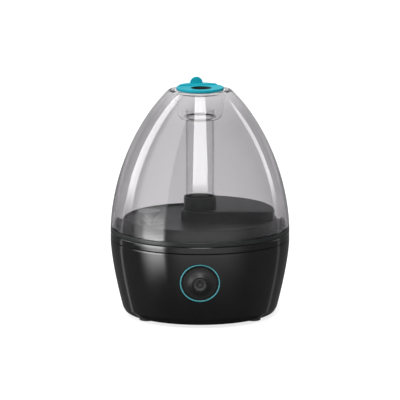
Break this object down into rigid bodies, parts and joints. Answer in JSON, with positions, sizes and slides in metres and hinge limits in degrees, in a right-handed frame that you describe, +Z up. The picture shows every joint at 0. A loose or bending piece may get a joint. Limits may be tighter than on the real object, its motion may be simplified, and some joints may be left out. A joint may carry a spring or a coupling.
{
  "type": "cool mist humidifier",
  "caption": "Tabletop ultrasonic humidifier: clear egg-shaped water tank on a round black base with a front dial and a turning mist nozzle.",
  "frame": {"origin": "centre line of the tank and base, at the level of the feet's undersides", "axes": "+Z up, -Y towards the dial (the front), +X to the viewer's right"},
  "size_m": [0.1792, 0.1802, 0.2378],
  "materials": {
    "black_gloss": "polished black moulded plastic",
    "floor_black": "satin black moulded plastic, wet area",
    "clear_smoke": "clear plastic with a light grey-violet tint, polished",
    "turquoise": "satin turquoise moulded plastic",
    "ring_turquoise": "turquoise light-guide plastic",
    "grey_translucent": "translucent grey moulded plastic",
    "black_matte": "fine matte black plastic",
    "dark_rubber": "matte black rubber",
    "silicone": "matte grey silicone",
    "steel": "plated steel",
    "aluminium": "extruded aluminium",
    "brass": "nickel-plated brass and ceramic disc",
    "board_green": "green lacquered circuit board",
    "component_black": "moulded black component",
    "copper": "lacquered copper winding",
    "wire_white": "white wire insulation",
    "float_white": "white foamed plastic"
  },
  "bodies": {
    "base": {"housing": "black_gloss", "bottom_plate": "black_matte", "foot_1": "dark_rubber", "foot_2": "dark_rubber", "foot_3": "dark_rubber", "foot_4": "dark_rubber", "basin": "floor_black", "case_screw_1": "steel", "case_screw_2": "steel", "case_screw_3": "steel", "transducer": "brass", "transducer_seal": "silicone", "transducer_clamp": "aluminium", "transducer_screw_1": "steel", "transducer_screw_2": "steel", "transducer_screw_3": "steel", "float_clip": "silicone", "level_sensor": "component_black", "fan_frame": "component_black", "fan_screw_1": "steel", "fan_screw_2": "steel", "light_ring": "ring_turquoise", "light_pipe_1": "clear_smoke", "light_pipe_2": "clear_smoke", "dial_encoder": "component_black", "tact_switch": "component_black", "control_board": "board_green", "control_board_screw_1": "steel", "control_board_screw_2": "steel", "driver_board": "board_green", "driver_board_screw_1": "steel", "driver_board_screw_2": "steel", "heat_sink": "aluminium", "power_transistor": "component_black", "coil": "copper", "capacitor_1": "component_black", "capacitor_2": "component_black", "dc_jack": "component_black", "jack_nut": "steel", "transducer_lead": "wire_white", "fan_lead": "wire_white", "power_lead": "component_black"},
    "tank": {"tank_shell": "clear_smoke", "tank_floor": "floor_black", "mist_tube": "clear_smoke", "tube_gasket_upper": "dark_rubber", "tube_gasket_lower": "dark_rubber"},
    "cap": {"filler_cap": "floor_black", "cap_gasket": "silicone", "valve_spring": "steel"},
    "valve": {"valve_plunger": "grey_translucent", "valve_seal": "silicone"},
    "nozzle_ring": {"nozzle_seal": "silicone"},
    "nozzle": {"nozzle": "turquoise", "nozzle_backing": "black_matte"},
    "float": {"float_ring": "float_white", "float_magnet": "steel"},
    "fan": {"fan_rotor": "component_black"},
    "knob": {"control_knob": "black_gloss"},
    "button": {"power_button": "black_gloss"}
  },
  "joints": [
    {"name": "tank_lift", "type": "slide", "parent": "base", "child": "tank", "axis": [0, 0, 1], "range_m": [0, 0.06]},
    {"name": "cap_turn", "type": "hinge", "parent": "tank", "child": "cap", "pos_m": [-0.05, -0.032, 0.088], "axis": [0, 0, 1], "range_deg": [0, 90]},
    {"name": "valve_travel", "type": "slide", "parent": "cap", "child": "valve", "axis": [0, 0, 1], "range_m": [-0.004, 0], "deforming": ["valve_spring"]},
    {"name": "nozzle_lift", "type": "slide", "parent": "tank", "child": "nozzle_ring", "axis": [0, 0, 1], "range_m": [0, 0.025]},
    {"name": "nozzle_turn", "type": "hinge", "parent": "nozzle_ring", "child": "nozzle", "pos_m": [0, 0, 0.229], "axis": [0, 0, 1], "continuous": true},
    {"name": "float_rise", "type": "slide", "parent": "base", "child": "float", "axis": [0, 0, 1], "range_m": [0, 0.0085]},
    {"name": "fan_spin", "type": "hinge", "parent": "base", "child": "fan", "pos_m": [0.04075, 0.01825, 0.0795], "axis": [0, 0, 1], "continuous": true},
    {"name": "knob_turn", "type": "hinge", "parent": "base", "child": "knob", "pos_m": [0, -0.08614, 0.048], "axis": [0, -0.9848, -0.1736], "range_deg": [-270, 0]},
    {"name": "button_press", "type": "slide", "parent": "base", "child": "button", "axis": [0, 0.9848, 0.1736], "range_m": [0, 0.001], "stiffness_N_per_m": 300, "springref_m": -0.001}
  ],
  "couplings": [
    {"joint": "valve_travel", "follows": "tank_lift", "ratio": -0.0666}
  ]
}
